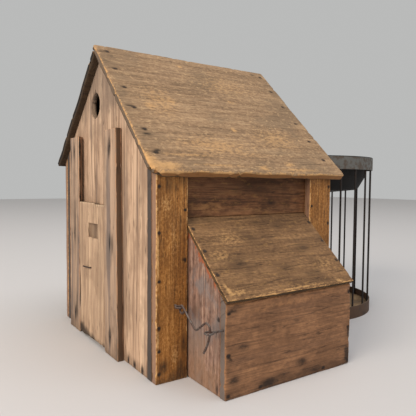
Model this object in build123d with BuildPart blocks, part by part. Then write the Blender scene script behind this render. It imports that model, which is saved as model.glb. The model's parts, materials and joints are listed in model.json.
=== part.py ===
"""A small wooden bird house with a sliding door, a draw-out nest box and a round wire cage.

The house stands with its ridge along X: the door gable faces -X, the cage is nailed to the
gable that faces +X, and the nest box is hooked to the long wall that faces -Y.  Z is up and
the table is Z = 0.  The origin is the middle of everything's footprint.
"""

import os
from math import atan2, cos, hypot, radians, sin, sqrt

from build123d import *

os.makedirs("parts", exist_ok=True)

# ---------------------------------------------------------------- driving dimensions, in mm

# House
house_length = 281
house_width = 330
board = 9.5
side_wall = 12
corner_thickness = 11
corner_width = 41
wall_seam_height = 188

# Roof: heights are of the top faces, reaches are how far each tip stands past the wall
ridge_height = 418
nest_eave_height = 241.7
nest_eave_reach = 12
back_eave_height = 262
back_eave_reach = 12
roof_board = 10
door_end_overhang = 9.8
cage_end_overhang = 6.4
cage_eave_overhang = 17.4
worn_corner_radius = 16
eased_corner_radius = 5

# Door gable: widths are measured from the nest-box side
narrow_strip = 21
side_strip = 68
centre_strip = 151
hole_diameter = 36
hole_height = 338
hole_from_side = 189
doorway_width = 82
doorway_height = 175
doorway_sill = 13

# Sliding door and the two battens that it runs in
door_width = 101
door_height = 200
door_thickness = 8.7
door_from_side = 133
door_side_play = 0.5
door_back_play = 0.3
door_foot_play = 1.0
tongue_width = 6
tongue_thickness = 4
tongue_play = 0.5
batten_height = 298
batten_thickness = 9.5
batten_foot_width = 44
batten_head_width = 38
notch_width = 40
notch_height = 21
notch_depth = 4
notch_top = 29
notch_shift = 7
pull_wire = 2.0
pull_height = 107
pull_reach = 26
pull_stand = 1.4
pull_turn = 2.2
pull_depth = 5
pull_sag = 1.5
door_top_worn = 2
worn_low = 35
worn_high = 100
worn_depth = 3

# Nest box
box_width = 195.5
box_reach = 74.4
box_front_height = 103
box_front_thickness = 12
box_back_height = 180
box_board = 9.5
box_wall_play = 0.5
front_top_gap = 1.5
lid_thickness = 6.4
lid_front_overhang = 6
lid_side_overhang = 0.7
box_passage_width = 64
box_passage_height = 60
box_passage_sill = 20

# Latch: a bent wire hook between two screw eyes
eye_ring = 4.4
eye_wire = 2.2
eye_screw_diameter = 2.6
eye_screw = 9
latch_wire = 2.4
latch_loop = 4.4
latch_loop_play = 0.3
latch_from_corner = 24.5
latch_height = 88.5
latch_pivot_stand = 13.5
latch_tail_radius = 59.5
latch_tail_end = 38.5
latch_catch_drop = 13.5
latch_catch_play = 1.8
latch_valley = (-30.6, -17.9)
latch_valley_bend = 6
latch_crest_bend = 6.5
latch_lead_drop = 36.4
latch_rise = 35.3

# Cage
cage_radius = 124
cage_offset = 12
cage_height = 275
hoop_height = 21
hoop_gauge = 1.2
bar_diameter = 3.2
bar_count = 24
bar_gap_half_angle = 20
cage_floor_thickness = 9.5
cage_floor_play = 0.2
pan_gauge = 1.2
pan_depth = 66
pan_rim_play = 0.5
pan_wall_play = 0.7
pan_shoulder_depth = 33
pan_floor_radius = 98
pan_dish = 10
cage_passage_width = 70
cage_passage_height = 76
cage_passage_sill = 24
cage_board_margin = 42

# Brads and nails
brad = 1.6
brad_head = 2.8
brad_head_height = 0.8
roof_nail_pitch = 41
roof_nail_ridge_margin = 10
nest_eave_nail_margin = 30.8
back_eave_nail_margin = 47.9
lid_brad_clearance = 1.4
brad_edge = 3.5

# ---------------------------------------------------------------- places worked out from them

box_depth = box_reach + corner_thickness - box_wall_play
box_lid_slope = atan2(box_back_height - box_front_height, box_depth)
lid_nose = lid_front_overhang * cos(box_lid_slope)
door_stand = door_back_play + door_thickness
door_end_reach = max(door_end_overhang, door_stand + pull_stand + pull_wire)
door_x = (door_end_reach - house_length - 2 * cage_radius) / 2
cage_x = door_x + house_length
nest_y = (box_reach + lid_nose - house_width - back_eave_reach) / 2
back_y = nest_y + house_width
ridge_y = nest_y + house_width / 2

nest_wall_y = nest_y + corner_thickness
back_wall_y = back_y - corner_thickness
gable_nest_y = nest_wall_y + side_wall
gable_back_y = back_wall_y - side_wall

# The nest-side roof board laps over the upper edge of the back one.
nest_slope = atan2(ridge_height - nest_eave_height, ridge_y - nest_y + nest_eave_reach)
lap_y = ridge_y + roof_board * sin(nest_slope)
lap_height = ridge_height - roof_board * cos(nest_slope)
back_slope = atan2(lap_height - back_eave_height, back_y + back_eave_reach - lap_y)
nest_slope_length = hypot(ridge_height - nest_eave_height, ridge_y - nest_y + nest_eave_reach)
back_slope_length = hypot(lap_height - back_eave_height, back_y + back_eave_reach - lap_y)


def roof_underside(y):
    """Height of the lower face of the roof over a point y, under whichever board is lower."""
    nest_side = lap_height - (lap_y - y) * sin(nest_slope) / cos(nest_slope)
    drop = roof_board / cos(back_slope)
    back_side = lap_height - drop - (y - lap_y) * sin(back_slope) / cos(back_slope)
    return min(nest_side, back_side)


# The two lower faces meet at the gables' peak.
nest_rise = sin(nest_slope) / cos(nest_slope)
back_rise = sin(back_slope) / cos(back_slope)
peak_y = lap_y - roof_board / cos(back_slope) / (nest_rise + back_rise)

cage_centre_x = cage_x + cage_radius
cage_centre_y = ridge_y + cage_offset
bar_radius = cage_radius - hoop_gauge - bar_diameter / 2

door_nest_y = nest_y + door_from_side
door_back_y = door_nest_y + door_width
door_front_x = door_x - door_stand
door_middle_y = (door_nest_y + door_back_y) / 2
hole_y = nest_y + hole_from_side

box_left_x = door_x + (house_length - box_width) / 2
box_right_x = box_left_x + box_width
box_front_y = nest_y - box_reach
box_back_y = nest_wall_y - box_wall_play
box_inner_y = box_front_y + box_front_thickness
box_middle_x = (box_left_x + box_right_x) / 2

latch_x = door_x + latch_from_corner
latch_pivot_y = nest_y - latch_pivot_stand
catch_z = latch_height - latch_catch_drop
tail_reach = sqrt(latch_tail_radius**2 - latch_catch_drop**2)
catch_y = latch_pivot_y - tail_reach + latch_catch_play


# ---------------------------------------------------------------- brads and nails


def drive(face, points, length):
    """Add one round brad at each point of a face plane, with its head flush with the face."""
    with BuildSketch(face, mode=Mode.PRIVATE) as shanks:
        with Locations(*points):
            Circle(brad / 2)
    extrude(shanks.sketch, amount=-length)
    with BuildSketch(face, mode=Mode.PRIVATE) as heads:
        with Locations(*points):
            Circle(brad_head / 2)
    extrude(heads.sketch, amount=-brad_head_height)


nest_face = Plane(origin=(0, nest_y, 0), x_dir=(1, 0, 0), z_dir=(0, -1, 0))
back_face = Plane(origin=(0, back_y, 0), x_dir=(-1, 0, 0), z_dir=(0, 1, 0))
door_face = Plane(origin=(door_x, 0, 0), x_dir=(0, -1, 0), z_dir=(-1, 0, 0))
cage_face = Plane(origin=(cage_x, 0, 0), x_dir=(0, 1, 0), z_dir=(1, 0, 0))
batten_face = door_face.offset(batten_thickness)
box_face = nest_face.offset(box_reach)

# Each corner board has a row of brads near its outer edge and two near its inner edge.
outer_row = [12, 38, 65, 118, 173, 225]
inner_row = [140, 198]
corner_points = [(door_x + brad_edge, height) for height in outer_row]
corner_points += [(door_x + corner_width - brad_edge, height) for height in inner_row]
corner_points += [(cage_x - brad_edge, height) for height in outer_row]
corner_points += [(cage_x - corner_width + brad_edge, height) for height in inner_row]
corner_brad_length = corner_thickness + side_wall - 1

with BuildPart() as corner_brads:
    drive(nest_face, corner_points, corner_brad_length)
    drive(back_face, [(-x, height) for x, height in corner_points], corner_brad_length)
corner_brads.part.label = "corner_brads"
export_step(corner_brads.part, "parts/corner_brads.step")

# The gable boards are bradded to the floor board along their feet.
foot_height = board / 2
first_seam_y = gable_nest_y + narrow_strip
second_seam_y = first_seam_y + side_strip
third_seam_y = second_seam_y + centre_strip
cage_seam_low_y = cage_centre_y - cage_passage_width / 2 - cage_board_margin
cage_seam_high_y = cage_centre_y + cage_passage_width / 2 + cage_board_margin
door_foot = [first_seam_y - 8, first_seam_y + 14, second_seam_y - 36, third_seam_y + 10, gable_back_y - 8]
cage_foot = [gable_nest_y + 12, cage_seam_low_y - 17, cage_seam_high_y - 7, gable_back_y - 12]
foot_brad_length = board + 14

with BuildPart() as floor_brads:
    drive(door_face, [(-y, foot_height) for y in door_foot], foot_brad_length)
    drive(cage_face, [(y, foot_height) for y in cage_foot], foot_brad_length)
floor_brads.part.label = "floor_brads"
export_step(floor_brads.part, "parts/floor_brads.step")

# Roof nails run square through each roof board into the edge of a gable.
nest_roof = Plane(
    origin=(0, ridge_y, ridge_height),
    x_dir=(1, 0, 0),
    z_dir=(0, -sin(nest_slope), cos(nest_slope)),
)
back_roof = Plane(
    origin=(0, lap_y, lap_height),
    x_dir=(-1, 0, 0),
    z_dir=(0, sin(back_slope), cos(back_slope)),
)
gable_edge_x = [door_x + board / 2, cage_x - board / 2]
roof_nail_length = roof_board + 12


def nail_rows(slope_length, eave_margin):
    """Places down a roof slope, at the nail pitch from the eave up to just below the ridge."""
    span = slope_length - eave_margin
    steps = int((span - roof_nail_ridge_margin) / roof_nail_pitch)
    return [roof_nail_pitch * step - span for step in range(steps + 1)]


nest_nail_rows = nail_rows(nest_slope_length, nest_eave_nail_margin)
back_nail_rows = nail_rows(back_slope_length, back_eave_nail_margin)

with BuildPart() as roof_nails:
    drive(nest_roof, [(x, row) for x in gable_edge_x for row in nest_nail_rows], roof_nail_length)
    drive(back_roof, [(-x, row) for x in gable_edge_x for row in back_nail_rows], roof_nail_length)
roof_nails.part.label = "roof_nails"
export_step(roof_nails.part, "parts/roof_nails.step")

# Battens: each stands on the door gable with its straight edge against the door.
nest_batten_y = door_nest_y - door_side_play
back_batten_y = door_back_y + door_side_play
batten_rows = [26, 150, batten_height - 22]
batten_nail_inset = 20
batten_points = [(-(nest_batten_y - batten_nail_inset), height) for height in batten_rows]
batten_points += [(-(back_batten_y + batten_nail_inset), height) for height in batten_rows]

with BuildPart() as batten_nails:
    drive(batten_face, batten_points, batten_thickness + board - 1.5)
batten_nails.part.label = "batten_nails"
export_step(batten_nails.part, "parts/batten_nails.step")

# The cage's two hoops are nailed to the gable from inside, at the line where they touch it.
hoop_inner_x = cage_centre_x - cage_radius + hoop_gauge
hoop_inside = Plane(origin=(hoop_inner_x + brad_head_height, 0, 0), x_dir=(0, 1, 0), z_dir=(1, 0, 0))
hoop_nail_heights = [cage_height - 15, cage_height - 6, (cage_floor_thickness + hoop_height) / 2]

with BuildPart() as cage_nails:
    drive(hoop_inside, [(cage_centre_y, height) for height in hoop_nail_heights], hoop_gauge + board)
cage_nails.part.label = "cage_nails"
export_step(cage_nails.part, "parts/cage_nails.step")


# ---------------------------------------------------------------- boards that end under the roof


def board_under_roof(start_x, length, low_y, high_y, foot):
    """A board from a level foot up to the roof, whose top edge is cut to the roof's slope."""
    outline = [(low_y, foot), (high_y, foot), (high_y, roof_underside(high_y))]
    if low_y < peak_y < high_y:
        outline.append((peak_y, roof_underside(peak_y)))
    outline.append((low_y, roof_underside(low_y)))
    with BuildPart() as piece:
        with BuildSketch(Plane.YZ.offset(start_x)):
            with BuildLine():
                Polyline(*outline, close=True)
            make_face()
        extrude(amount=length)
    return piece.part


# Door gable: four upright boards between the long walls.
with BuildPart() as gable_narrow_board:
    add(board_under_roof(door_x, board, gable_nest_y, first_seam_y, 0))
    add(floor_brads.part, mode=Mode.SUBTRACT)
    add(roof_nails.part, mode=Mode.SUBTRACT)
gable_narrow_board.part.label = "gable_narrow_board"
export_step(gable_narrow_board.part, "parts/gable_narrow_board.step")

with BuildPart() as gable_side_board:
    add(board_under_roof(door_x, board, first_seam_y, second_seam_y, 0))
    add(floor_brads.part, mode=Mode.SUBTRACT)
    add(roof_nails.part, mode=Mode.SUBTRACT)
    add(batten_nails.part, mode=Mode.SUBTRACT)
gable_side_board.part.label = "gable_side_board"
export_step(gable_side_board.part, "parts/gable_side_board.step")

doorway_middle_height = doorway_sill + doorway_height / 2

with BuildPart() as gable_centre_board:
    add(board_under_roof(door_x, board, second_seam_y, third_seam_y, 0))
    with BuildSketch(door_face):
        with Locations((-door_middle_y, doorway_middle_height)):
            Rectangle(doorway_width, doorway_height)
        with Locations((-hole_y, hole_height)):
            Circle(hole_diameter / 2)
    extrude(amount=-board, mode=Mode.SUBTRACT)
    add(floor_brads.part, mode=Mode.SUBTRACT)
    add(roof_nails.part, mode=Mode.SUBTRACT)
    add(batten_nails.part, mode=Mode.SUBTRACT)
gable_centre_board.part.label = "gable_centre_board"
export_step(gable_centre_board.part, "parts/gable_centre_board.step")

with BuildPart() as gable_back_board:
    add(board_under_roof(door_x, board, third_seam_y, gable_back_y, 0))
    add(floor_brads.part, mode=Mode.SUBTRACT)
    add(roof_nails.part, mode=Mode.SUBTRACT)
    add(batten_nails.part, mode=Mode.SUBTRACT)
gable_back_board.part.label = "gable_back_board"
export_step(gable_back_board.part, "parts/gable_back_board.step")

# Cage gable: a middle board with the way into the cage, and one board each side of it.
cage_gable_x = cage_x - board

with BuildPart() as cage_gable_nest_board:
    add(board_under_roof(cage_gable_x, board, gable_nest_y, cage_seam_low_y, 0))
    add(floor_brads.part, mode=Mode.SUBTRACT)
    add(roof_nails.part, mode=Mode.SUBTRACT)
cage_gable_nest_board.part.label = "cage_gable_nest_board"
export_step(cage_gable_nest_board.part, "parts/cage_gable_nest_board.step")

with BuildPart() as cage_gable_centre_board:
    add(board_under_roof(cage_gable_x, board, cage_seam_low_y, cage_seam_high_y, 0))
    with BuildSketch(cage_face):
        with Locations((cage_centre_y, cage_passage_sill + cage_passage_height / 2)):
            Rectangle(cage_passage_width, cage_passage_height)
    extrude(amount=-board, mode=Mode.SUBTRACT)
    add(floor_brads.part, mode=Mode.SUBTRACT)
    add(roof_nails.part, mode=Mode.SUBTRACT)
    add(cage_nails.part, mode=Mode.SUBTRACT)
cage_gable_centre_board.part.label = "cage_gable_centre_board"
export_step(cage_gable_centre_board.part, "parts/cage_gable_centre_board.step")

with BuildPart() as cage_gable_back_board:
    add(board_under_roof(cage_gable_x, board, cage_seam_high_y, gable_back_y, 0))
    add(floor_brads.part, mode=Mode.SUBTRACT)
    add(roof_nails.part, mode=Mode.SUBTRACT)
cage_gable_back_board.part.label = "cage_gable_back_board"
export_step(cage_gable_back_board.part, "parts/cage_gable_back_board.step")

# Long walls: an upper and a lower board each, with the gables between them.
with BuildPart() as nest_wall_upper:
    add(board_under_roof(door_x, house_length, nest_wall_y, gable_nest_y, wall_seam_height))
    add(corner_brads.part, mode=Mode.SUBTRACT)
    add(roof_nails.part, mode=Mode.SUBTRACT)
nest_wall_upper.part.label = "nest_wall_upper"
export_step(nest_wall_upper.part, "parts/nest_wall_upper.step")

with BuildPart() as nest_wall_lower:
    with BuildSketch(nest_face.offset(-corner_thickness)):
        with Locations((door_x + house_length / 2, wall_seam_height / 2)):
            Rectangle(house_length, wall_seam_height)
        with Locations((box_middle_x, box_passage_sill + box_passage_height / 2)):
            Rectangle(box_passage_width, box_passage_height, mode=Mode.SUBTRACT)
    extrude(amount=-side_wall)
    add(corner_brads.part, mode=Mode.SUBTRACT)
nest_wall_lower.part.label = "nest_wall_lower"
export_step(nest_wall_lower.part, "parts/nest_wall_lower.step")

with BuildPart() as back_wall_upper:
    add(board_under_roof(door_x, house_length, gable_back_y, back_wall_y, wall_seam_height))
    add(corner_brads.part, mode=Mode.SUBTRACT)
back_wall_upper.part.label = "back_wall_upper"
export_step(back_wall_upper.part, "parts/back_wall_upper.step")

with BuildPart() as back_wall_lower:
    with BuildSketch(back_face.offset(-corner_thickness)):
        with Locations((-(door_x + house_length / 2), wall_seam_height / 2)):
            Rectangle(house_length, wall_seam_height)
    extrude(amount=-side_wall)
    add(corner_brads.part, mode=Mode.SUBTRACT)
back_wall_lower.part.label = "back_wall_lower"
export_step(back_wall_lower.part, "parts/back_wall_lower.step")

# ---------------------------------------------------------------- the latch's fixed screw eye


def screw_eye(centre, ring_normal, screw_direction, length):
    """A closed wire ring on a stouter screw that runs from the ring's edge for a given length."""
    ring_plane = Plane(origin=centre, z_dir=ring_normal)
    screw_start = Vector(*centre) + Vector(*screw_direction) * (eye_ring + eye_wire / 5)
    with BuildPart() as eye:
        with BuildSketch(Plane(origin=ring_plane.from_local_coords((eye_ring, 0, 0)),
                               z_dir=ring_plane.y_dir)):
            Circle(eye_wire / 2)
        revolve(axis=Axis(centre, ring_normal), revolution_arc=360)
        with BuildSketch(Plane(origin=screw_start, z_dir=screw_direction)):
            Circle(eye_screw_diameter / 2)
        extrude(amount=length - eye_wire / 5)
    return eye.part


post_eye_centre = (latch_x, latch_pivot_y + eye_ring, latch_height)
post_eye_length = latch_pivot_stand - 2 * eye_ring + eye_screw

with BuildPart() as post_screw_eye:
    add(screw_eye(post_eye_centre, (0, 0, 1), (0, 1, 0), post_eye_length))
post_screw_eye.part.label = "post_screw_eye"
export_step(post_screw_eye.part, "parts/post_screw_eye.step")

# ---------------------------------------------------------------- corner boards

# Four boards cover the ends of the long walls.
corner_places = {
    "corner_board_latch": (door_x, nest_y, nest_wall_y),
    "corner_board_nest_cage": (cage_x - corner_width, nest_y, nest_wall_y),
    "corner_board_back_door": (door_x, back_wall_y, back_y),
    "corner_board_back_cage": (cage_x - corner_width, back_wall_y, back_y),
}
for name, (start_x, low_y, high_y) in corner_places.items():
    with BuildPart() as corner:
        add(board_under_roof(start_x, corner_width, low_y, high_y, 0))
        add(corner_brads.part, mode=Mode.SUBTRACT)
        add(post_screw_eye.part, mode=Mode.SUBTRACT)
    corner.part.label = name
    export_step(corner.part, f"parts/{name}.step")

# ---------------------------------------------------------------- floor and roof

with BuildPart() as floor_board:
    with BuildSketch(Plane.XY):
        with Locations(((door_x + cage_x) / 2, (gable_nest_y + gable_back_y) / 2)):
            Rectangle(house_length - 2 * board, gable_back_y - gable_nest_y)
    extrude(amount=board)
    add(floor_brads.part, mode=Mode.SUBTRACT)
floor_board.part.label = "floor_board"
export_step(floor_board.part, "parts/floor_board.step")

with BuildPart() as nest_roof_board:
    with BuildSketch(nest_roof) as nest_roof_outline:
        with BuildLine():
            Polyline(
                (door_x - door_end_overhang, 0),
                (door_x - door_end_overhang, -nest_slope_length),
                (cage_x + cage_eave_overhang, -nest_slope_length),
                (cage_x + cage_end_overhang, 0),
                close=True,
            )
        make_face()
        door_end_corner = nest_roof_outline.vertices().group_by(Axis.Y)[0].sort_by(Axis.X)[0]
        fillet(door_end_corner, worn_corner_radius)
        cage_end_corner = nest_roof_outline.vertices().group_by(Axis.Y)[0].sort_by(Axis.X)[-1]
        fillet(cage_end_corner, eased_corner_radius)
    extrude(amount=-roof_board)
    add(roof_nails.part, mode=Mode.SUBTRACT)
nest_roof_board.part.label = "nest_roof_board"
export_step(nest_roof_board.part, "parts/nest_roof_board.step")

# The back board starts past the lap and is cut to the lower face of the nest-side board.
lap_allowance = 2 * roof_board
lap_cut = Plane(origin=(0, lap_y, lap_height), z_dir=(0, sin(nest_slope), -cos(nest_slope)))

with BuildPart() as back_roof_board:
    with BuildSketch(back_roof):
        with BuildLine():
            Polyline(
                (-(cage_x + cage_end_overhang), lap_allowance),
                (-(cage_x + cage_eave_overhang), -back_slope_length),
                (-(door_x - door_end_overhang), -back_slope_length),
                (-(door_x - door_end_overhang), lap_allowance),
                close=True,
            )
        make_face()
    extrude(amount=-roof_board)
    split(bisect_by=lap_cut, keep=Keep.TOP)
    add(roof_nails.part, mode=Mode.SUBTRACT)
back_roof_board.part.label = "back_roof_board"
export_step(back_roof_board.part, "parts/back_roof_board.step")

# ---------------------------------------------------------------- battens and sliding door

rebate_width = tongue_width + door_side_play
rebate_depth = door_back_play + tongue_thickness + tongue_play


def batten(straight_edge_y, side):
    """A tapered upright with a rebate behind its straight edge; side is -1 or +1 along Y."""
    with BuildPart() as piece:
        with BuildSketch(Plane.YZ.offset(door_x - batten_thickness)):
            with BuildLine():
                Polyline(
                    (straight_edge_y, 0),
                    (straight_edge_y + side * batten_foot_width, 0),
                    (straight_edge_y + side * batten_head_width, batten_height),
                    (straight_edge_y, batten_height),
                    close=True,
                )
            make_face()
        extrude(amount=batten_thickness)
        with BuildSketch(Plane.YZ.offset(door_x - rebate_depth)):
            with Locations((straight_edge_y + side * rebate_width / 2, batten_height / 2)):
                Rectangle(rebate_width, batten_height)
        extrude(amount=rebate_depth, mode=Mode.SUBTRACT)
        add(batten_nails.part, mode=Mode.SUBTRACT)
        # A batten that reaches the roof is cut to its lower face.
        add(nest_roof_board.part, mode=Mode.SUBTRACT)
        add(back_roof_board.part, mode=Mode.SUBTRACT)
    return piece.part


with BuildPart() as door_batten_nest:
    add(batten(nest_batten_y, -1))
door_batten_nest.part.label = "door_batten_nest"
export_step(door_batten_nest.part, "parts/door_batten_nest.step")

with BuildPart() as door_batten_back:
    add(batten(back_batten_y, 1))
door_batten_back.part.label = "door_batten_back"
export_step(door_batten_back.part, "parts/door_batten_back.step")

# The pull is a nail bent over sideways, clear of the door's face.
pull_root_y = door_middle_y
pull_x = door_front_x - pull_stand - pull_wire / 2

with BuildPart() as door_pull_nail:
    with BuildLine() as pull_path:
        FilletPolyline(
            (door_front_x + pull_depth, pull_root_y, pull_height),
            (pull_x, pull_root_y, pull_height),
            (pull_x, pull_root_y + pull_reach, pull_height - pull_sag),
            radius=pull_turn,
        )
    with BuildSketch(Plane(origin=pull_path.line @ 0, z_dir=pull_path.line % 0)):
        Circle(pull_wire / 2)
    sweep()
door_pull_nail.part.label = "door_pull_nail"
export_step(door_pull_nail.part, "parts/door_pull_nail.step")

# The door's foot is rotted to an uneven line, given as (share of the width, height), and its
# back edge is worn hollow by hands.
foot_line = [(0.0, 4), (0.10, 1), (0.18, 4.5), (0.27, 1), (0.40, 2), (0.50, 7), (0.58, 6), (0.66, 1)]
foot_line += [(0.85, 0.5), (0.93, 5), (1.0, 2)]
top_step_y = door_nest_y + 0.39 * door_width

with BuildPart() as sliding_door:
    with BuildSketch(Plane.YZ.offset(door_front_x)):
        with BuildLine():
            foot = Polyline(
                *[(door_nest_y + share * door_width, door_foot_play + rise) for share, rise in foot_line]
            )
            lower_edge = Line(foot @ 1, (door_back_y, worn_low))
            worn_edge = ThreePointArc(
                lower_edge @ 1,
                (door_back_y - worn_depth, (worn_low + worn_high) / 2),
                (door_back_y, worn_high),
            )
            Polyline(
                worn_edge @ 1,
                (door_back_y, door_height),
                (top_step_y + 1, door_height - door_top_worn / 4),
                (top_step_y - 1, door_height - door_top_worn),
                (door_nest_y, door_height - door_top_worn),
                foot @ 0,
            )
        make_face()
    extrude(amount=door_thickness)
    with BuildSketch(Plane.YZ.offset(door_front_x + door_thickness - tongue_thickness)):
        tongue_low = door_foot_play + 6
        tongue_high = door_height - door_top_worn
        for edge_y, side in ((door_nest_y, -1), (door_back_y, 1)):
            with Locations((edge_y + side * (tongue_width - worn_depth) / 2, (tongue_low + tongue_high) / 2)):
                Rectangle(tongue_width + worn_depth, tongue_high - tongue_low)
    extrude(amount=tongue_thickness)
    with BuildSketch(Plane.YZ.offset(door_front_x)):
        with Locations((door_middle_y - notch_shift, door_height - notch_top - notch_height / 2)):
            Rectangle(notch_width, notch_height)
    extrude(amount=notch_depth, mode=Mode.SUBTRACT)
    add(door_pull_nail.part, mode=Mode.SUBTRACT)
sliding_door.part.label = "sliding_door"
export_step(sliding_door.part, "parts/sliding_door.step")

# ---------------------------------------------------------------- nest box

catch_eye_centre = (latch_x, catch_y, catch_z)
catch_eye_length = box_left_x - latch_x - eye_ring + eye_screw

with BuildPart() as box_screw_eye:
    add(screw_eye(catch_eye_centre, (0, 0, 1), (1, 0, 0), catch_eye_length))
box_screw_eye.part.label = "box_screw_eye"
export_step(box_screw_eye.part, "parts/box_screw_eye.step")

# Brads hold the front to the side boards and the floor, and the lid to the side boards.
lid_rise = sin(box_lid_slope) / cos(box_lid_slope)
lid_plane = Plane(
    origin=(0, box_front_y, box_front_height + lid_thickness / cos(box_lid_slope)),
    x_dir=(1, 0, 0),
    z_dir=(0, -sin(box_lid_slope), cos(box_lid_slope)),
)
box_edges_x = [box_left_x + brad_edge, box_right_x - brad_edge]
box_front_rows = [box_board / 2, 48, 93]
box_foot_x = [box_middle_x - 50, box_middle_x + 50]
# The last lid brad ends just short of the wall behind the box.
lid_brad_length = lid_thickness + 12
lid_brad_start = box_depth - lid_brad_clearance - lid_brad_length * sin(box_lid_slope)
first_lid_row = 28
last_lid_row = lid_brad_start / cos(box_lid_slope)
lid_rows = [first_lid_row, (first_lid_row + last_lid_row) / 2, last_lid_row]

with BuildPart() as nest_box_brads:
    drive(box_face, [(x, row) for x in box_edges_x for row in box_front_rows], box_front_thickness + 12)
    drive(box_face, [(x, box_board / 2) for x in box_foot_x], box_front_thickness + 12)
    drive(lid_plane, [(x, row) for x in box_edges_x for row in lid_rows], lid_brad_length)
nest_box_brads.part.label = "nest_box_brads"
export_step(nest_box_brads.part, "parts/nest_box_brads.step")


def nest_box_side(start_x):
    """One side board: square at the back, with its top edge cut to the lid's slope."""
    inner_height = box_front_height + box_front_thickness * lid_rise
    with BuildPart() as piece:
        with BuildSketch(Plane.YZ.offset(start_x)):
            with BuildLine():
                Polyline(
                    (box_inner_y, 0),
                    (box_back_y, 0),
                    (box_back_y, box_back_height),
                    (box_inner_y, inner_height),
                    close=True,
                )
            make_face()
        extrude(amount=box_board)
        add(nest_box_brads.part, mode=Mode.SUBTRACT)
    return piece.part


with BuildPart() as nest_box_left_side:
    add(nest_box_side(box_left_x))
    add(box_screw_eye.part, mode=Mode.SUBTRACT)
nest_box_left_side.part.label = "nest_box_left_side"
export_step(nest_box_left_side.part, "parts/nest_box_left_side.step")

with BuildPart() as nest_box_right_side:
    add(nest_box_side(box_right_x - box_board))
nest_box_right_side.part.label = "nest_box_right_side"
export_step(nest_box_right_side.part, "parts/nest_box_right_side.step")

with BuildPart() as nest_box_front:
    with BuildSketch(Plane.YZ.offset(box_left_x)):
        with BuildLine():
            Polyline(
                (box_front_y, 0),
                (box_inner_y, 0),
                (box_inner_y, box_front_height + box_front_thickness * lid_rise - front_top_gap),
                (box_front_y, box_front_height - front_top_gap),
                close=True,
            )
        make_face()
    extrude(amount=box_width)
    add(nest_box_brads.part, mode=Mode.SUBTRACT)
    add(box_screw_eye.part, mode=Mode.SUBTRACT)
nest_box_front.part.label = "nest_box_front"
export_step(nest_box_front.part, "parts/nest_box_front.step")

with BuildPart() as nest_box_floor:
    with BuildSketch(Plane.XY):
        with Locations((box_middle_x, (box_inner_y + box_back_y) / 2)):
            Rectangle(box_width - 2 * box_board, box_back_y - box_inner_y)
    extrude(amount=box_board)
    add(nest_box_brads.part, mode=Mode.SUBTRACT)
nest_box_floor.part.label = "nest_box_floor"
export_step(nest_box_floor.part, "parts/nest_box_floor.step")

# The lid's back edge is cut upright, so that it meets the wall.
lid_slope_length = (box_back_y - box_front_y) / cos(box_lid_slope)
lid_back_trim = Plane(origin=(0, box_back_y, 0), z_dir=(0, -1, 0))

with BuildPart() as nest_box_lid:
    with BuildSketch(lid_plane):
        with Locations((box_middle_x, (lid_slope_length + lid_thickness - lid_front_overhang) / 2)):
            Rectangle(box_width + 2 * lid_side_overhang, lid_slope_length + lid_thickness + lid_front_overhang)
    extrude(amount=-lid_thickness)
    split(bisect_by=lid_back_trim, keep=Keep.TOP)
    add(nest_box_brads.part, mode=Mode.SUBTRACT)
nest_box_lid.part.label = "nest_box_lid"
export_step(nest_box_lid.part, "parts/nest_box_lid.step")

# ---------------------------------------------------------------- latch hook

# Everything here is (Y, Z) from the pivot, which is the front of the post eye's ring.  The
# wire leaves a nearly closed loop, dips to the valley, rises to the crest and falls into the
# box's screw eye as an arc about the pivot, so that it lifts out of that eye as it turns.
loop_shift = latch_loop - latch_wire / 2 - eye_wire / 2 - latch_loop_play
loop_centre = (-0.6 * loop_shift, -0.8 * loop_shift)
loop_start_angle = latch_lead_drop - 270
loop_turn = 290
tail_start = 12
tail_tangent = (sin(radians(tail_start)), -cos(radians(tail_start)))


def on_loop(turn):
    """A point of the loop, a number of degrees back from where the straight wire leaves it."""
    angle = radians(loop_start_angle - turn)
    return (loop_centre[0] + latch_loop * cos(angle), loop_centre[1] + latch_loop * sin(angle))


def on_tail(drop):
    """A point of the tail, a number of degrees below the level of the pivot."""
    return (-latch_tail_radius * cos(radians(drop)), -latch_tail_radius * sin(radians(drop)))


# The crest's corner is where the rising wire's line meets the tail's tangent.
tail_top = on_tail(tail_start)
rise = (-cos(radians(latch_rise)), sin(radians(latch_rise)))
across = rise[0] * -tail_tangent[1] + rise[1] * tail_tangent[0]
gap = (tail_top[0] - latch_valley[0], tail_top[1] - latch_valley[1])
climb = (gap[0] * -tail_tangent[1] + gap[1] * tail_tangent[0]) / across
crest = (latch_valley[0] + climb * rise[0], latch_valley[1] + climb * rise[1])

latch_plane = Plane(
    origin=(latch_x, latch_pivot_y, latch_height), x_dir=(0, 1, 0), z_dir=(1, 0, 0)
)

with BuildPart() as latch_hook:
    with BuildLine(latch_plane) as hook_path:
        ThreePointArc(on_loop(loop_turn), on_loop(loop_turn / 2), on_loop(0))
        FilletPolyline(
            on_loop(0), latch_valley, crest, tail_top, radius=(latch_valley_bend, latch_crest_bend)
        )
        ThreePointArc(
            tail_top, on_tail((tail_start + latch_tail_end) / 2), on_tail(latch_tail_end)
        )
    with BuildSketch(Plane(origin=hook_path.line @ 0, z_dir=hook_path.line % 0)):
        Circle(latch_wire / 2)
    sweep()
latch_hook.part.label = "latch_hook"
export_step(latch_hook.part, "parts/latch_hook.step")

# ---------------------------------------------------------------- cage

cage_axis = Axis((cage_centre_x, cage_centre_y, 0), (0, 0, 1))


def cage_level(height):
    """The level plane at a height, with its origin on the cage's axis."""
    return Plane(origin=(cage_centre_x, cage_centre_y, height), z_dir=(0, 0, 1))


bar_step = 360 / bar_count
bar_angles = [bar_step * index for index in range(bar_count)]
kept_angles = [angle for angle in bar_angles if abs(angle - 180) > bar_gap_half_angle]
bar_foot = 3
bar_head = 1

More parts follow.
